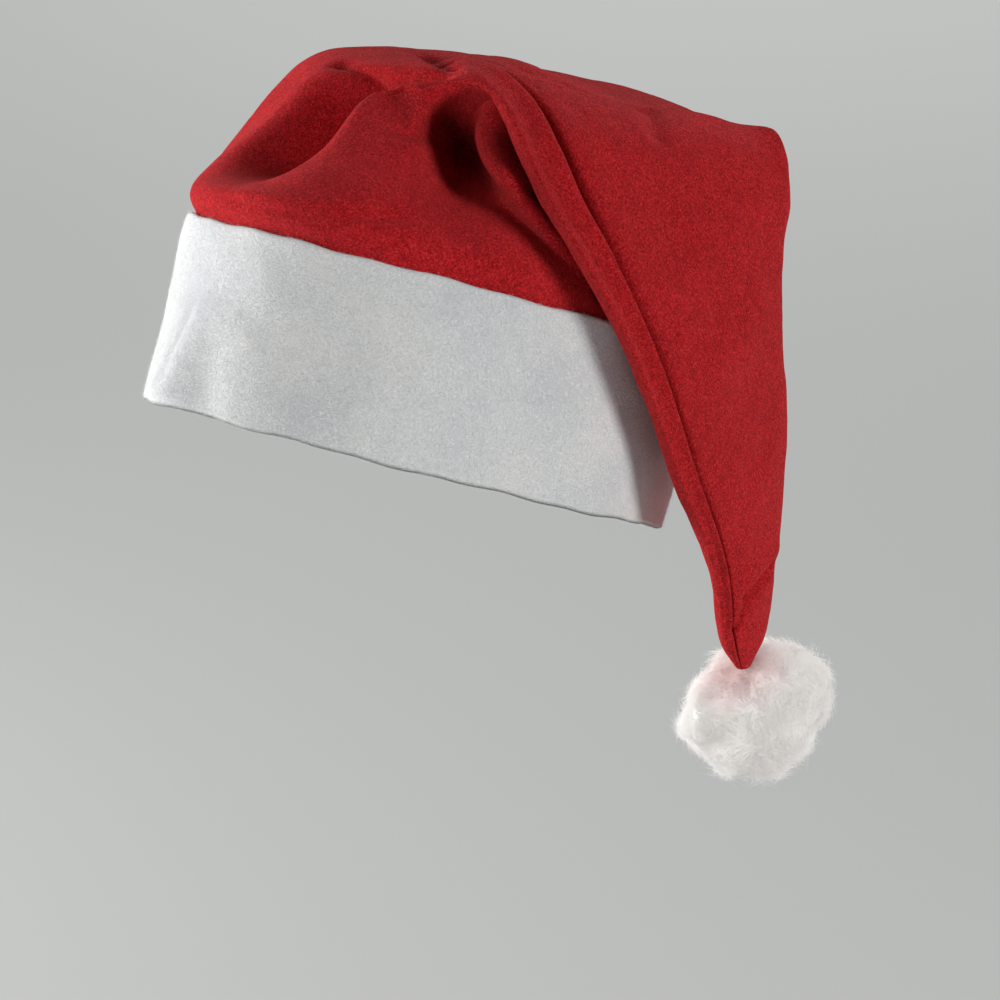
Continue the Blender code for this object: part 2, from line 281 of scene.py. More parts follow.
SHADE_GRAIN = Grain(30.0, 2.0, 0.5)
MOTTLE_GRAIN = Grain(260.0, 4.0, 0.6, 0.6)
FIBRE_GRAIN = Grain(1500.0, 2.0, 0.75, 1.0)
TUFT_GRAIN = Grain(420.0, 2.0, 0.6)


class Socket:
    """A value socket of a shader tree, on which arithmetic adds Math nodes."""

    def __init__(self, finish: "Finish", socket: bpy.types.NodeSocket) -> None:
        """Keeps the socket and the finish that owns its tree."""
        self.finish = finish
        self.socket = socket

    def _math(self, operation: str, first: "Socket | float", second: "Socket | float") -> "Socket":
        """Adds one Math node.

        Args:
            operation: The node's operation.
            first: Its first value or socket.
            second: Its second value or socket.

        Returns:
            The node's result.
        """
        made = self.finish.node("ShaderNodeMath", {"operation": operation}, {0: first, 1: second})
        return made.out("Value")

    def __add__(self, other: "Socket | float") -> "Socket":
        """The sum."""
        return self._math("ADD", self, other)

    def __radd__(self, other: float) -> "Socket":
        """The sum, with the number first."""
        return self._math("ADD", other, self)

    def __sub__(self, other: "Socket | float") -> "Socket":
        """The difference."""
        return self._math("SUBTRACT", self, other)

    def __rsub__(self, other: float) -> "Socket":
        """The difference, with the number first."""
        return self._math("SUBTRACT", other, self)

    def __mul__(self, other: "Socket | float") -> "Socket":
        """The product."""
        return self._math("MULTIPLY", self, other)

    def __rmul__(self, other: float) -> "Socket":
        """The product, with the number first."""
        return self._math("MULTIPLY", other, self)

    def limited(self, low: float, high: float) -> "Socket":
        """The value kept between two numbers.

        Args:
            low: The least it may be.
            high: The most it may be.

        Returns:
            The limited value.
        """
        return self._math("MINIMUM", self._math("MAXIMUM", self, low), high)


# The Mix node has a set of sockets for each kind of data, and these are the numbers of its colour sockets.
MIX_FACTOR = 0
MIX_FIRST = 6
MIX_SECOND = 7
MIX_COLOUR = 2


class Node:
    """A node of a shader tree."""

    def __init__(self, finish: "Finish", node: bpy.types.Node) -> None:
        """Keeps the node and the finish that owns its tree."""
        self.finish = finish
        self.node = node

    def out(self, name: str | int = 0) -> Socket:
        """The output of that name or number."""
        return Socket(self.finish, self.node.outputs[name])


class Finish:
    """A material that is being built, whose every node comes from one method."""

    def __init__(self, name: str) -> None:
        """Starts a material with a Principled shader.

        Args:
            name: The material's plain name.
        """
        self.material = bpy.data.materials.new(name)
        self.material.use_nodes = True
        self.tree = self.material.node_tree
        self.shader = self.tree.nodes["Principled BSDF"]

    def feed(self, target: bpy.types.NodeSocket, value: "Socket | float | Sequence[float]") -> None:
        """Links a socket to an input, or sets the input's own number or colour.

        Args:
            target: The input.
            value: The socket, number or colour that it gets.
        """
        if isinstance(value, Socket):
            self.tree.links.new(value.socket, target)
        else:
            target.default_value = value

    def node(self, kind: str, settings: dict[str, object], values: dict[str | int, object]) -> Node:
        """Adds a node.

        Args:
            kind: The node's type.
            settings: Its properties, which are set first.
            values: What its inputs get, by name or number.

        Returns:
            The node.
        """
        made = self.tree.nodes.new(kind)
        for key, value in settings.items():
            setattr(made, key, value)
        for key, value in values.items():
            self.feed(made.inputs[key], value)
        return Node(self, made)

    def place(self) -> Socket:
        """The point on the piece, in the object's own coordinates."""
        return self.node("ShaderNodeTexCoord", {}, {}).out("Object")

    def noise(self, at: Socket, grain: Grain) -> Socket:
        """Smooth noise round 0.5.

        Args:
            at: The point where it is read.
            grain: How fine and how rough it is.

        Returns:
            The noise.
        """
        values = {
            "Vector": at,
            "Scale": grain.scale,
            "Detail": grain.detail,
            "Roughness": grain.roughness,
            "Distortion": grain.distortion,
        }
        return self.node("ShaderNodeTexNoise", {}, values).out()

    def mix(self, factor: Socket, first: "Socket | Colour", second: "Socket | Colour") -> Socket:
        """A colour between two.

        Args:
            factor: 0 for the first, 1 for the second.
            first: The first colour.
            second: The second colour.

        Returns:
            The mixed colour.
        """
        pair = [(*colour, 1.0) if isinstance(colour, tuple) else colour for colour in (first, second)]
        values = {MIX_FACTOR: factor, MIX_FIRST: pair[0], MIX_SECOND: pair[1]}
        return self.node("ShaderNodeMix", {"data_type": "RGBA"}, values).out(MIX_COLOUR)

    def near(self, point: Point, reach: float) -> Socket:
        """How near the piece is to a point, from 1 there to 0 at a distance.

        Args:
            point: The point.
            reach: The distance.

        Returns:
            The nearness.
        """
        values = {0: self.place(), 1: point}
        distance = self.node("ShaderNodeVectorMath", {"operation": "DISTANCE"}, values).out("Value")
        return (1.0 - distance * (1.0 / reach)).limited(0.0, 1.0)

    def bump(self, height: Socket, distance: float, strength: float) -> None:
        """Feeds the shader's normal from a height.

        Args:
            height: The height, from 0 to 1.
            distance: How far a height of 1 stands out.
            strength: How much of it is used.
        """
        values = {"Height": height, "Distance": distance, "Strength": strength}
        self.feed(self.shader.inputs["Normal"], self.node("ShaderNodeBump", {}, values).out("Normal"))


@dataclass(frozen=True, kw_only=True)
class ClothFinish:
    """What felt and loose fibres share. The glow stands for the light that scatters inside white fibres."""

    name: str
    roughness: float = 0.9
    specular: float = 0.15
    sheen: float = 0.3
    sheen_tint: Colour = (1.0, 1.0, 1.0)
    sheen_roughness: float = 0.5
    glow: float = 0.0
    tip_bounce_tinted: bool = False

    def dress(self, finish: Finish, colour: Socket) -> None:
        """Feeds the shader all but its relief.

        Args:
            finish: The material that is being built.
            colour: Its colour, before the painted red bounce light round the cone's tip.
        """
        # Painted red bounce light: the colour turns pink near the cone's tip, where the red felt's light
        # falls.
        if self.tip_bounce_tinted:
            colour = finish.mix(finish.near(TIP, TIP_RED_BOUNCE_REACH) * TIP_RED_BOUNCE_SHARE, colour, TIP_RED_BOUNCE)
        values = {
            "Base Color": colour,
            "Roughness": self.roughness,
            "Specular IOR Level": self.specular,
            "Sheen Weight": self.sheen,
            "Sheen Roughness": self.sheen_roughness,
            "Sheen Tint": (*self.sheen_tint, 1.0),
            "Emission Color": colour,
            "Emission Strength": self.glow,
        }
        for name, value in values.items():
            finish.feed(finish.shader.inputs[name], value)


@dataclass(frozen=True, kw_only=True)
class FeltFinish(ClothFinish):
    """Napped felt: matted short fibres, with a slow unevenness of shade, a mottle and a fine speckle."""

    deep: Colour
    middle: Colour
    light: Colour
    roughness: float = 0.92
    specular: float = 0.12
    sheen: float = 0.25
    drift: float = 0.6
    mottling: float = 0.9
    speckle: float = 5.4
    contrast: float = 1.4
    relief: float = 0.0006
    fibre_relief: float = 1.3
    mottle_relief: float = 0.6

    def build(self) -> bpy.types.Material:
        """Makes the material.

        Returns:
            The finished material.
        """
        finish = Finish(self.name)
        at = finish.place()
        slow = finish.noise(at, SHADE_GRAIN)
        mottle = finish.noise(at, MOTTLE_GRAIN)
        fibre = finish.noise(at, FIBRE_GRAIN)
        shade = (slow - 0.5) * self.drift + (mottle - 0.5) * self.mottling + (fibre - 0.5) * self.speckle
        darker = finish.mix((shade * -self.contrast).limited(0.0, 1.0), self.middle, self.deep)
        colour = finish.mix((shade * self.contrast).limited(0.0, 1.0), darker, self.light)
        self.dress(finish, colour)
        finish.bump(fibre * self.fibre_relief + mottle * self.mottle_relief, self.relief, 1.0)
        return finish.material


@dataclass(frozen=True, kw_only=True)
class FibreFinish(ClothFinish):
    """Loose fibres, whose shade varies a little from one tuft to the next."""

    shade: Colour
    light: Colour
    shade_end: float = 0.3
    contrast: float = 2.5

    def build(self) -> bpy.types.Material:
        """Makes the material.

        Returns:
            The finished material.
        """
        finish = Finish(self.name)
        tufts = finish.noise(finish.place(), TUFT_GRAIN)
        lightness = ((tufts - self.shade_end) * self.contrast).limited(0.0, 1.0)
        self.dress(finish, finish.mix(lightness, self.shade, self.light))
        return finish.material


@dataclass(frozen=True)
class FloorFinish:
    """The studio floor's plain pale grey."""

    colour: Colour = (0.455, 0.465, 0.455)
    roughness: float = 0.8

    def build(self) -> bpy.types.Material:
        """Makes the material.

        Returns:
            The finished material.
        """
        finish = Finish("studio grey")
        finish.feed(finish.shader.inputs["Base Color"], (*self.colour, 1.0))
        finish.feed(finish.shader.inputs["Roughness"], self.roughness)
        return finish.material


RED_FELT = FeltFinish(
    name="red felt",
    deep=(0.30, 0.004, 0.008),
    middle=(0.58, 0.010, 0.016),
    light=(0.84, 0.034, 0.042),
    sheen_tint=(1.0, 0.22, 0.20),
    relief=0.0011,
    specular=0.06,
)
RED_NAP = FibreFinish(
    name="red nap",
    shade=(0.50, 0.010, 0.016),
    light=(0.84, 0.050, 0.058),
    sheen=0.10,
    sheen_tint=(1.0, 0.4, 0.35),
)
WHITE_FELT = FeltFinish(
    name="white felt",
    deep=(0.66, 0.68, 0.71),
    middle=(0.79, 0.80, 0.80),
    light=(0.90, 0.89, 0.87),
    drift=2.2,
)
WHITE_NAP = FibreFinish(
    name="white nap",
    shade=(0.78, 0.79, 0.80),
    light=(0.90, 0.895, 0.88),
    glow=0.02,
)
WOOL = FeltFinish(
    name="white wool",
    deep=(0.86, 0.845, 0.82),
    middle=(0.94, 0.925, 0.905),
    light=(0.97, 0.96, 0.94),
    glow=0.15,
    tip_bounce_tinted=True,
)
LOOSE_FIBRE = FibreFinish(
    name="loose fibre",
    shade=(0.88, 0.855, 0.83),
    light=(0.92, 0.90, 0.88),
    glow=0.15,
    tip_bounce_tinted=True,
)


def along_rows(knots: Sequence[float], rows: Sequence[Sequence[float]], at: np.ndarray) -> np.ndarray:
    """A smooth curve through rows of numbers.

    Args:
        knots: The place of each row.
        rows: The rows.
        at: The places where the curve is read.

    Returns:
        A row for each place.
    """
    knots = np.asarray(knots, float)
    rows = np.asarray(rows, float)
    steps = np.diff(knots)
    runs = np.diff(rows, axis=0) / steps[:, None]
    share = (steps[1:] / (steps[:-1] + steps[1:]))[:, None]
    slopes = np.concatenate([runs[:1], runs[:-1] * share + runs[1:] * (1.0 - share), runs[-1:]])
    at = np.clip(at, knots[0], knots[-1])
    index = np.clip(np.searchsorted(knots, at, side="right") - 1, 0, len(steps) - 1)
    step = steps[index][:, None]
    part = (at[:, None] - knots[index][:, None]) / step
    return (
        (2 * part**3 - 3 * part**2 + 1) * rows[index]
        + (part**3 - 2 * part**2 + part) * step * slopes[index]
        + (3 * part**2 - 2 * part**3) * rows[index + 1]
        + (part**3 - part**2) * step * slopes[index + 1]
    )


def eased(part: np.ndarray) -> np.ndarray:
    """A number from 0 to 1 that starts and ends gently."""
    part = np.clip(part, 0.0, 1.0)
    return part * part * (3.0 - 2.0 * part)


def unit(vectors: np.ndarray) -> np.ndarray:
    """The vectors, each at a length of 1."""
    return vectors / np.maximum(np.linalg.norm(vectors, axis=-1, keepdims=True), TINY)


def numbers_of(items: bpy.types.bpy_prop_collection, name: str, kind: type, each: int) -> np.ndarray:
    """One property of every item in a collection.

    Args:
        items: The items.
        name: The property.
        kind: The kind of its numbers.
        each: How many numbers an item has.

    Returns:
        A row for each item.
    """
    values = np.empty(len(items) * each, kind)
    items.foreach_get(name, values)
    return values.reshape(-1, each)


def near_line(line: "Fold | Crease", turn: np.ndarray, up: np.ndarray) -> tuple[np.ndarray, np.ndarray]:
    """Where points of the cloth lie beside a fold's or a crease's line.

    Args:
        line: The fold or crease.
        turn: The points' turns.
        up: How far up the cloth they lie.

    Returns:
        How far along the line each point is, from 0 to 1, and how far across it, in metres of cloth.
    """
    middle = (line.start_turn + line.end_turn) / 2
    around = ((turn - middle + 180.0) % 360.0 - 180.0 + middle) * CLOTH_PER_DEGREE
    start = line.start_turn * CLOTH_PER_DEGREE
    run = line.end_turn * CLOTH_PER_DEGREE - start
    rise = line.end_up - line.start_up
    length = math.hypot(run, rise)
    along = ((around - start) * run + (up - line.start_up) * rise) / length**2
    part = np.clip(along, 0.0, 1.0)
    bowed = line.bow * 4 * part * (1 - part)
    across = ((around - start) * rise - (up - line.start_up) * run) / length - bowed
    return part, across


def fold_push(fold: Fold, turn: np.ndarray, up: np.ndarray) -> np.ndarray:
    """How far a fold moves each point of the cloth.

    Args:
        fold: The fold.
        turn: The points' turns.
        up: How far up the cloth they lie.

    Returns:
        A vector for each point.
    """
    part, across = near_line(fold, turn, up)
    width = fold.start_width + (fold.end_width - fold.start_width) * part
    width = width * (1 + fold.lean * np.sign(across))
    amount = eased(np.where(part < fold.peak, part / fold.peak, (1 - part) / (1 - fold.peak)))
    amount = amount * np.exp(-(np.abs(across / width) ** fold.flatness))
    return amount[:, None] * np.asarray(fold.push)


def crease_depth(crease: Crease, turn: np.ndarray, up: np.ndarray) -> np.ndarray:
    """How far a crease moves each point of the cloth along its normal.

    Args:
        crease: The crease.
        turn: The points' turns.
        up: How far up the cloth they lie.

    Returns:
        A distance for each point.
    """
    part, across = near_line(crease, turn, up)
    ends = eased(np.minimum(part, 1 - part) / CREASE_FADE)
    return crease.depth * ends * np.exp(-((across / crease.width) ** 2))


def folded(points: np.ndarray, folds: Sequence[Fold], turn: np.ndarray, up: np.ndarray) -> np.ndarray:
    """The points moved by every fold."""
    return points + sum(fold_push(fold, turn, up) for fold in folds)


def on_cone(turn: np.ndarray, up: np.ndarray) -> np.ndarray:
    """Points of the cone's outer face.

    Args:
        turn: The points' turns.
        up: How far up the cloth they lie.

    Returns:
        The points.
    """
    rows = [[*row.centre, *row.to_front, *row.to_left, row.roundness] for row in CONE_SECTIONS]
    values = along_rows([row.up for row in CONE_SECTIONS], rows, up)
    centre, to_front, to_left, roundness = values[:, 0:3], values[:, 3:6], values[:, 6:9], values[:, 9]
    ahead = np.cos(np.radians(turn))[:, None]
    sideways = np.sin(np.radians(turn))
    sideways = (np.sign(sideways) * np.abs(sideways) ** roundness)[:, None]
    plain = centre + to_front * ahead + to_left * sideways
    loose = eased(up / FOLDS_START)[:, None]
    return plain + (folded(plain, CONE_FOLDS, turn, up) - plain) * loose


def on_band(turn: np.ndarray, up: np.ndarray) -> np.ndarray:
    """Points of the band's outer face.

    Args:
        turn: The points' turns.
        up: How far up from the rim they lie, along the band's axis.

    Returns:
        The points.
    """
    angle = np.radians(turn)
    forward = RIM_HALF_LENGTH * np.cos(angle)
    points = np.stack(
        [
            RIM_HALF_WIDTH * np.sin(angle),
            up * math.sin(TIP_BACK) - forward * math.cos(TIP_BACK),
            up * math.cos(TIP_BACK) + forward * math.sin(TIP_BACK),
        ],
        axis=1,
    )
    return folded(points, BAND_FOLDS, turn, up)


def normals_of(place: Place, turn: np.ndarray, up: np.ndarray) -> np.ndarray:
    """The outward normals of a face that a function places.

    Args:
        place: The function of turn and height.
        turn: The points' turns.
        up: How far up the cloth they lie.

    Returns:
        A unit vector for each point.
    """
    turn_step = 0.2
    up_step = 0.0003
    around = place(turn + turn_step, up) - place(turn - turn_step, up)
    upward = place(turn, up + up_step) - place(turn, up - up_step)
    return unit(np.cross(around, upward))


def unevenness(points: np.ndarray, waves: Sequence[Wave]) -> np.ndarray:
    """The cloth's soft unevenness.

    Args:
        points: Where it is read.
        waves: Its octaves.

    Returns:
        A height for each point.
    """
    heights = np.zeros(len(points))
    for wave in waves:
        scaled = points / wave.size
        heights += wave.height * np.array([noise.noise(Vector(point)) for point in scaled])
    return heights


def steps_of(spans: Sequence[Span]) -> np.ndarray:
    """Every value from the first span's start to the last one's end.

    Args:
        spans: The spans, end to end.

    Returns:
        The values.
    """
    values = [spans[0].start]
    for span in spans:
        values.extend(span.start + (span.end - span.start) * (k + 1) / span.steps for k in range(span.steps))
    return np.array(values)


def tube(turns: np.ndarray, ups: np.ndarray, place: Place) -> bmesh.types.BMesh:
    """A grid wrapped once round, whose place for each turn and height comes from a function.

    Args:
        turns: The columns' turns.
        ups: The rows' heights.
        place: The function that places a point.

    Returns:
        The sheet, open at its ends.
    """
    bm = bmesh.new()
    bmesh.ops.create_grid(bm, x_segments=len(turns) - 1, y_segments=len(ups) - 1, size=0.5)
    column = [round((vert.co.x + 0.5) * (len(turns) - 1)) for vert in bm.verts]
    row = [round((vert.co.y + 0.5) * (len(ups) - 1)) for vert in bm.verts]
    for vert, point in zip(bm.verts, place(turns[column], ups[row])):
        vert.co = point
    bmesh.ops.remove_doubles(bm, verts=bm.verts, dist=WELD)
    return bm


def rim_loops(bm: bmesh.types.BMesh) -> list[list[bmesh.types.BMEdge]]:
    """The open edges of a mesh.

    Args:
        bm: The mesh.

    Returns:
        A list of edges for each hole.
    """
    open_edges = {edge for edge in bm.edges if edge.is_boundary}
    loops = []
    while open_edges:
        loop = [open_edges.pop()]
        for edge in loop:
            reached = {other for vert in edge.verts for other in vert.link_edges if other in open_edges}
            loop.extend(reached)
            open_edges -= reached
        loops.append(loop)
    return loops


def lowest(loop: Sequence[bmesh.types.BMEdge]) -> float:
    """The lowest height that a loop reaches."""
    return min(vert.co.z for edge in loop for vert in edge.verts)


def object_from(bm: bmesh.types.BMesh, name: str, material: bpy.types.Material) -> bpy.types.Object:
    """Makes an object of a bmesh.

    Args:
        bm: The mesh, which is freed.
        name: The object's name.
        material: Its finish.

    Returns:
        The object.
    """
    mesh = bpy.data.meshes.new(name)
    bm.to_mesh(mesh)
    bm.free()
    mesh.shade_smooth()
    mesh.materials.append(material)
    made = bpy.data.objects.new(name, mesh)
    bpy.context.scene.collection.objects.link(made)
    return made


class Lay(Enum):
    """How fibres lie on what they grow from."""

    NAP = "short and matted"
    FLUFF = "long and swirling"


@dataclass(frozen=True)
class Fibres:
    """Many tapered fibres that stand on a piece, as one mesh.

    A lift of 1 stands upright, and less leans over. Each fibre has a share of the length between the shortest
    and the longest, droops and curls by shares of its own length, and is thinner at its end by the taper. In
    fluff the fibres of one tuft are pulled the same way, and stray from it by chance.
    """

    count: int
    length: float
    radius: float
    segments: int
    lay: Lay
    lift: float
    seed: int
    sides: int = 3
    shortest: float = 0.45
    longest: float = 1.25
    droop: float = 0.35
    curl: float = 0.5
    taper: float = 0.75
    tuft_size: float = 0.008
    tuft_pull: float = 2.2
    stray_pull: float = 0.35

    def grow(self, name: str, source: bpy.types.Object, material: bpy.types.Material) -> bpy.types.Object:
        """Grows the fibres on a piece.

        Args:
            name: The fibres' name.
            source: The piece that they stand on, as modelled.
            material: Their finish.

        Returns:
            The fibres' object.
        """
        rng = np.random.default_rng(self.seed)
        roots, normals = self._scatter(source.data, rng)
        made = object_from(self._strands(), name, material)
        local = numbers_of(made.data.vertices, "co", float, 3).reshape(self.count, -1, 3)
        points = self._bend(local, roots, normals, rng)
        made.data.vertices.foreach_set("co", points.reshape(-1))
        made.data.update()
        return made

    def _scatter(self, mesh: bpy.types.Mesh, rng: np.random.Generator) -> tuple[np.ndarray, np.ndarray]:
        """Picks even random places on a mesh.

        Args:
            mesh: The mesh.
            rng: The seeded source of chance.

        Returns:
            The places and the normals there.
        """
        mesh.calc_loop_triangles()
        triangles = numbers_of(mesh.loop_triangles, "vertices", int, 3)
        areas = numbers_of(mesh.loop_triangles, "area", float, 1)[:, 0]
        corners = numbers_of(mesh.vertices, "co", float, 3)
        bends = numbers_of(mesh.vertices, "normal", float, 3)
        picked = triangles[rng.choice(len(areas), self.count, p=areas / areas.sum())]
        share = rng.dirichlet((1.0, 1.0, 1.0), self.count)[:, :, None]
        return (corners[picked] * share).sum(axis=1), unit((bends[picked] * share).sum(axis=1))

    def _strands(self) -> bmesh.types.BMesh:
        """Makes the straight fibres, every one from the origin up to a height of 1.

        Returns:
            The mesh, whose fibres follow one another in its vertices.
        """
        bm = bmesh.new()
        bmesh.ops.create_circle(bm, cap_ends=True, segments=self.sides, radius=1.0)
        bm.faces.ensure_lookup_table()
        end = self._lift_first(bm, bm.faces[0])
        step_up = (0.0, 0.0, 1.0 / self.segments)
        bmesh.ops.translate(bm, verts=end.verts, vec=step_up)
        for _ in range(self.segments - 1):
            end = bmesh.ops.extrude_discrete_faces(bm, faces=[end])["faces"][0]
            bmesh.ops.translate(bm, verts=end.verts, vec=step_up)
        bmesh.ops.pointmerge(bm, verts=end.verts, merge_co=(0.0, 0.0, 1.0))
        bmesh.ops.recalc_face_normals(bm, faces=bm.faces)
        while len(bm.verts) < self.count * self._points_each():
            self._double(bm)
        return bm

    def _points_each(self) -> int:
        """How many vertices one fibre has."""
        return self.sides * self.segments + 1

    @staticmethod
    def _lift_first(bm: bmesh.types.BMesh, face: bmesh.types.BMFace) -> bmesh.types.BMFace:
        """Extrudes the first face and leaves a face at the root.

        Args:
            bm: The mesh.
            face: The root's face.

        Returns:
            The face at the far end.
        """
        grown = bmesh.ops.extrude_face_region(bm, geom=[face], use_keep_orig=True)
        return next(item for item in grown["geom"] if isinstance(item, bmesh.types.BMFace))

    def _double(self, bm: bmesh.types.BMesh) -> None:
        """Doubles the fibres, or adds what is left of their number.

        Args:
            bm: The mesh.
        """
        made = len(bm.verts) // self._points_each()
        last = min(made, self.count - made) * self._points_each()
        bm.verts.index_update()
        verts = [vert for vert in bm.verts if vert.index < last]
        faces = [face for face in bm.faces if face.verts[0].index < last]
        edges = [edge for edge in bm.edges if edge.verts[0].index < last]
        bmesh.ops.duplicate(bm, geom=verts + edges + faces)

    def _bend(
        self, local: np.ndarray, roots: np.ndarray, normals: np.ndarray, rng: np.random.Generator
    ) -> np.ndarray:
        """Lays the straight fibres on the piece.

        Args:
            local: The straight fibres' points.
            roots: Where each stands.
            normals: The piece's normal there.
            rng: The seeded source of chance.

        Returns:
            The laid fibres' points.
        """
        swirl = rng.normal(size=(self.count, 3))
        if self.lay is Lay.FLUFF:
            tufts = np.array([noise.noise_vector(Vector(root / self.tuft_size)) for root in roots])
            swirl = swirl * self.stray_pull + tufts * self.tuft_pull
        swirl = unit(swirl - normals * (swirl * normals).sum(axis=1, keepdims=True))
        aside = np.cross(normals, swirl)
        length = (self.length * rng.uniform(self.shortest, self.longest, self.count))[:, None]
        curl = rng.normal(scale=self.curl, size=(self.count, 1))
        along = local[:, :, 2]
        rise = (self.lift * (along - self.droop * along**2))[:, :, None]
        lean = (along * math.sqrt(1 - self.lift**2))[:, :, None]
        curve = (curl * along**2)[:, :, None]
        path = normals[:, None] * rise + swirl[:, None] * lean + aside[:, None] * curve
        thick = self.radius * (1.0 - self.taper * along)[:, :, None]
        cross = aside[:, None] * local[:, :, 0:1] + np.cross(swirl, aside)[:, None] * local[:, :, 1:2]
        sunk = normals[:, None] * -self.radius
        return roots[:, None] + path * length[:, None] + cross * thick + sunk


CONE_NAP = Fibres(
    count=48000, length=0.0016, radius=0.000035, segments=1, lay=Lay.NAP, lift=0.92, seed=11
)
BAND_NAP = Fibres(
    count=48000, length=0.0019, radius=0.00004, segments=1, lay=Lay.NAP, lift=0.7, seed=12
)
POMPOM_LONG_FIBRES = Fibres(
    count=10500, length=0.0075, radius=0.00009, segments=3, lay=Lay.FLUFF, lift=0.45, seed=21
)
POMPOM_DOWN = Fibres(
    count=24000, length=0.0045, radius=0.00005, segments=1, lay=Lay.FLUFF, lift=0.55, seed=22
)


@dataclass
class CrownCone:
    """The red felt cone, which buckles over the crown and hangs down on the left, with its nap."""

    wall: float = FELT_WALL
    tightest_bend: float = 2.0
    nap: Fibres = CONE_NAP
    flat_width: float = 0.60
    flat_length: float = 0.375
    flat_area: float = 0.125

    def place(self, turn: np.ndarray, up: np.ndarray) -> np.ndarray:
        """Points of the cone with its creases and its soft unevenness.

        Args:
            turn: The points' turns.
            up: How far up the cloth they lie.

        Returns:
            The points.
        """
        plain = on_cone(turn, up)
        depth = sum(crease_depth(crease, turn, up) for crease in CONE_CREASES)
        depth = depth + unevenness(plain, CONE_WAVES)
        return plain + normals_of(on_cone, turn, up) * (depth * eased(up / FOLDS_START))[:, None]

    def build(self, felt: bpy.types.Material, fuzz: bpy.types.Material) -> list[bpy.types.Object]:
        """Makes the cone and its nap.

        Args:
            felt: The cone's finish.
            fuzz: The nap's finish.

        Returns:
            The cone, then the nap.
        """
        bm = tube(steps_of(CONE_COLUMNS), steps_of(CONE_ROWS), self.place)
        end = min(rim_loops(bm), key=lowest)
        bmesh.ops.poke(bm, faces=bmesh.ops.contextual_create(bm, geom=end)["faces"])
        bmesh.ops.recalc_face_normals(bm, faces=bm.faces)
        cone = object_from(bm, "felt_cone", felt)
        nap = self.nap.grow("cone_nap", cone, fuzz)
        solidify = cone.modifiers.new("wall", "SOLIDIFY")
        solidify.thickness = self.wall
        solidify.offset = -1.0
        solidify.thickness_clamp = self.tightest_bend
        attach(cone, "root")
        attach(nap, "root")
        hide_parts("crown_cone")
        return [cone, nap]


@dataclass
class WhiteBand:
    """The thick white felt band, with rounded edges and a fluffy nap."""

    wall: float = BAND_WALL
    height: float = BAND_HEIGHT
    nap: Fibres = BAND_NAP
    flat_length: float = 0.60

    def place(self, turn: np.ndarray, way: np.ndarray) -> np.ndarray:
        """Points of the band's closed section, which goes up the outside, over the top and down the inside.

        Args:
            turn: The points' turns.
            way: How far round the section they lie, from 0 to 4: outside, top, inside, bottom.

        Returns:
            The points.
        """
        half = self.wall / 2
        side = np.clip(way, 0, 1) - np.clip(way - 2, 0, 1)
        over = np.clip(way - 1, 0, 1) + np.clip(way - 3, 0, 1)
        up = half + (self.height - self.wall) * side
        arc = np.pi * over
        outward = half * np.cos(arc)
        lift = half * np.sin(arc) * np.where(way < 2.5, 1.0, -1.0)
        plain = on_band(turn, up)
        normal = normals_of(on_band, turn, up)
        axis = np.array([0.0, math.sin(TIP_BACK), math.cos(TIP_BACK)])
        soft = unevenness(plain, BAND_WAVES) + sum(crease_depth(crease, turn, up) for crease in BAND_CREASES)
        ripples = sum(
            ripple.height * np.sin(np.radians(turn * ripple.count + ripple.start)) for ripple in EDGE_RIPPLES
        )
        rise = lift + ripples * (side - 0.5)
        return plain + normal * (outward - half + soft)[:, None] + axis * rise[:, None]

    def build(self, felt: bpy.types.Material, fuzz: bpy.types.Material) -> list[bpy.types.Object]:
        """Makes the band and its nap.

        Args:
            felt: The band's finish.
            fuzz: The nap's finish.

        Returns:
            The band, then the nap.
        """
        ways = steps_of(
            (
                Span(0, 1, BAND_FACE_ROWS),
                Span(1, 2, BAND_EDGE_ROWS),
                Span(2, 3, BAND_FACE_ROWS),
                Span(3, 4, BAND_EDGE_ROWS),
            )
        )
        bm = tube(steps_of(BAND_COLUMNS), ways, self.place)
        bmesh.ops.recalc_face_normals(bm, faces=bm.faces)
        ring = object_from(bm, "white_band", felt)
        nap = self.nap.grow("band_nap", ring, fuzz)
        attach(ring, "root")
        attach(nap, "root")
        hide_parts("band")
        return [ring, nap]


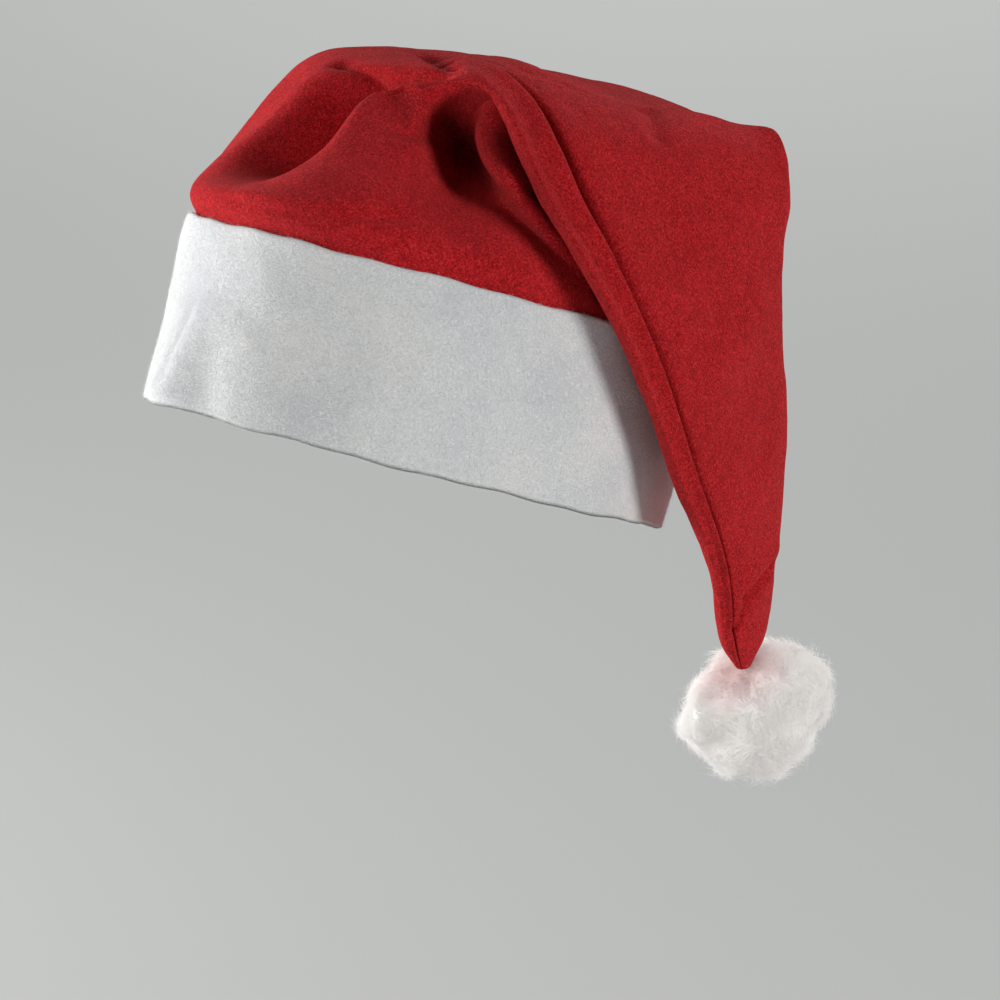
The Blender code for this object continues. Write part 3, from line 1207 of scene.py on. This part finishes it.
@dataclass
class Pompom:
    """The fluffy pompom: a core in locks, under two layers of loose fibres."""

    centre: Point = POMPOM_CENTRE
    radius: float = POMPOM_RADIUS
    core_share: float = 0.90
    core_divisions: int = 5
    small_locks: int = 30
    small_height: float = 0.0022
    small_spread: float = 0.26
    fill: float = 0.35
    long_fibres: Fibres = POMPOM_LONG_FIBRES
    down: Fibres = POMPOM_DOWN

    def locks(self) -> list[Lock]:
        """The named locks, and small ones that are spread evenly between them.

        Returns:
            The locks.
        """
        golden_angle = math.pi * (3 - math.sqrt(5))
        found = list(POMPOM_LOCKS)
        for k in range(self.small_locks):
            z = 1 - (2 * k + 1) / self.small_locks
            level = math.sqrt(1 - z * z)
            toward = (level * math.cos(k * golden_angle), level * math.sin(k * golden_angle), z)
            found.append(Lock(f"small lock {k}", toward, self.small_height, self.small_spread))
        return found

    def core(self, finish: bpy.types.Material) -> bpy.types.Object:
        """Makes the core.

        Args:
            finish: Its finish.

        Returns:
            The core's object.
        """
        bm = bmesh.new()
        bmesh.ops.create_icosphere(bm, subdivisions=self.core_divisions, radius=1.0)
        directions = np.array([vert.co.normalized() for vert in bm.verts])
        reach = np.full(len(directions), self.radius * self.core_share)
        for lock in self.locks():
            angle = np.arccos(np.clip(directions @ unit(np.asarray(lock.toward)), -1.0, 1.0))
            reach += lock.height * np.exp(-((angle / lock.spread) ** 2))
        reach += unevenness(directions * self.radius, POMPOM_WAVES)
        for vert, point in zip(bm.verts, np.asarray(self.centre) + directions * reach[:, None]):
            vert.co = point
        return object_from(bm, "pompom_core", finish)

    def build(self, wool: bpy.types.Material, fuzz: bpy.types.Material) -> list[bpy.types.Object]:
        """Makes the core and its fibres.

        Args:
            wool: The core's finish.
            fuzz: The fibres' finish.

        Returns:
            The core, then the two layers of fibres.
        """
        core = self.core(wool)
        long_fibres = self.long_fibres.grow("pompom_locks", core, fuzz)
        down = self.down.grow("pompom_down", core, fuzz)
        for piece in (core, long_fibres, down):
            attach(piece, "root")
        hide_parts("pompom")
        return [core, long_fibres, down]


class Softbox(NamedTuple):
    """A square soft light: its place from the hat's origin as the camera sees it, its side and its watts."""

    name: str
    across: float
    toward: float
    up: float
    size: float
    power: float


SOFTBOXES = (
    Softbox("left side light", -1.4, -0.40, 0.12, 0.5, 26.0),
    Softbox("left front light", -1.1, 1.1, 0.4, 0.9, 12.2),
    Softbox("right front light", 1.41, 0.80, 0.38, 0.5, 18.0),
    Softbox("right side light", 1.4, -0.5, 0.3, 0.8, 1.5),
    Softbox("back light", 0.3, -3.4, 2.1, 2.2, 104.0),
)


@dataclass
class Studio:
    """The pale floor, the soft lights and the camera.

    The frame's pixels are the photo's, and so is the pixel where the hat's origin lies.
    """

    floor_height: float = -0.330
    floor_reach: float = 8.0
    floor_squares: int = 4
    sky_colour: Colour = (0.97, 1.0, 1.0)
    sky_strength: float = 0.02
    azimuth: float = math.radians(47.0)
    elevation: float = math.radians(15.7)
    distance: float = 2.0
    pixels_per_metre: float = 2797.0
    frame_pixels: float = 1000.0
    origin_pixel: tuple[float, float] = (404.0, 465.5)
    sensor: float = 36.0

    def floor(self, material: bpy.types.Material) -> bpy.types.Object:
        """Makes the floor.

        Args:
            material: Its finish.

        Returns:
            The floor's object.
        """
        bm = bmesh.new()
        squares = self.floor_squares
        bmesh.ops.create_grid(bm, x_segments=squares, y_segments=squares, size=self.floor_reach)
        bmesh.ops.translate(bm, verts=bm.verts, vec=(0.0, 0.0, self.floor_height))
        made = object_from(bm, "studio_floor", material)
        return made

    def camera(self) -> None:
        """Sets the camera at the photograph's angle."""
        data = bpy.data.cameras.new("photo_camera")
        made = bpy.data.objects.new("photo_camera", data)
        bpy.context.scene.collection.objects.link(made)
        level = math.cos(self.elevation)
        back = Vector(
            (math.sin(self.azimuth) * level, -math.cos(self.azimuth) * level, math.sin(self.elevation))
        )
        made.location = back * self.distance
        made.rotation_euler = (-back).to_track_quat("-Z", "Y").to_euler()
        data.sensor_width = self.sensor
        data.lens = self.sensor * self.distance * self.pixels_per_metre / self.frame_pixels
        data.shift_x = (self.frame_pixels / 2 - self.origin_pixel[0]) / self.frame_pixels
        data.shift_y = (self.origin_pixel[1] - self.frame_pixels / 2) / self.frame_pixels
        data.dof.use_dof = False
        bpy.context.scene.camera = made
        bpy.context.scene.view_settings.view_transform = "Standard"

    def softbox(self, box: Softbox) -> None:
        """Adds a soft light.

        Args:
            box: The light.
        """
        data = bpy.data.lights.new(box.name, "AREA")
        data.size = box.size
        data.energy = box.power
        made = bpy.data.objects.new(box.name, data)
        bpy.context.scene.collection.objects.link(made)
        right = Vector((math.cos(self.azimuth), math.sin(self.azimuth), 0.0))
        near = Vector((math.sin(self.azimuth), -math.cos(self.azimuth), 0.0))
        place = right * box.across + near * box.toward + Vector((0.0, 0.0, box.up))
        made.location = place
        made.rotation_euler = (-place).to_track_quat("-Z", "Y").to_euler()

    def sky(self) -> None:
        """Sets the even light of the room."""
        world = bpy.data.worlds.new("studio")
        world.use_nodes = True
        background = world.node_tree.nodes["Background"]
        background.inputs["Color"].default_value = (*self.sky_colour, 1.0)
        background.inputs["Strength"].default_value = self.sky_strength
        bpy.context.scene.world = world

    def build(self, material: bpy.types.Material) -> None:
        """Makes the whole studio.

        Args:
            material: The floor's finish.
        """
        self.floor(material)
        self.camera()
        self.sky()
        for box in SOFTBOXES:
            self.softbox(box)


def main() -> None:
    """Builds the hat's pieces in order, then the studio."""
    logging.basicConfig(level=logging.INFO, format="%(name)s %(message)s")
    noise.seed_set(FLUFF_SEED)
    pieces = CrownCone().build(RED_FELT.build(), RED_NAP.build())
    pieces += WhiteBand().build(WHITE_FELT.build(), WHITE_NAP.build())
    pieces += Pompom().build(WOOL.build(), LOOSE_FIBRE.build())
    for piece in pieces:
        log.info("%s: %d faces", piece.name, len(piece.data.polygons))
    Studio().build(FloorFinish().build())


if __name__ == "__main__":
    main()
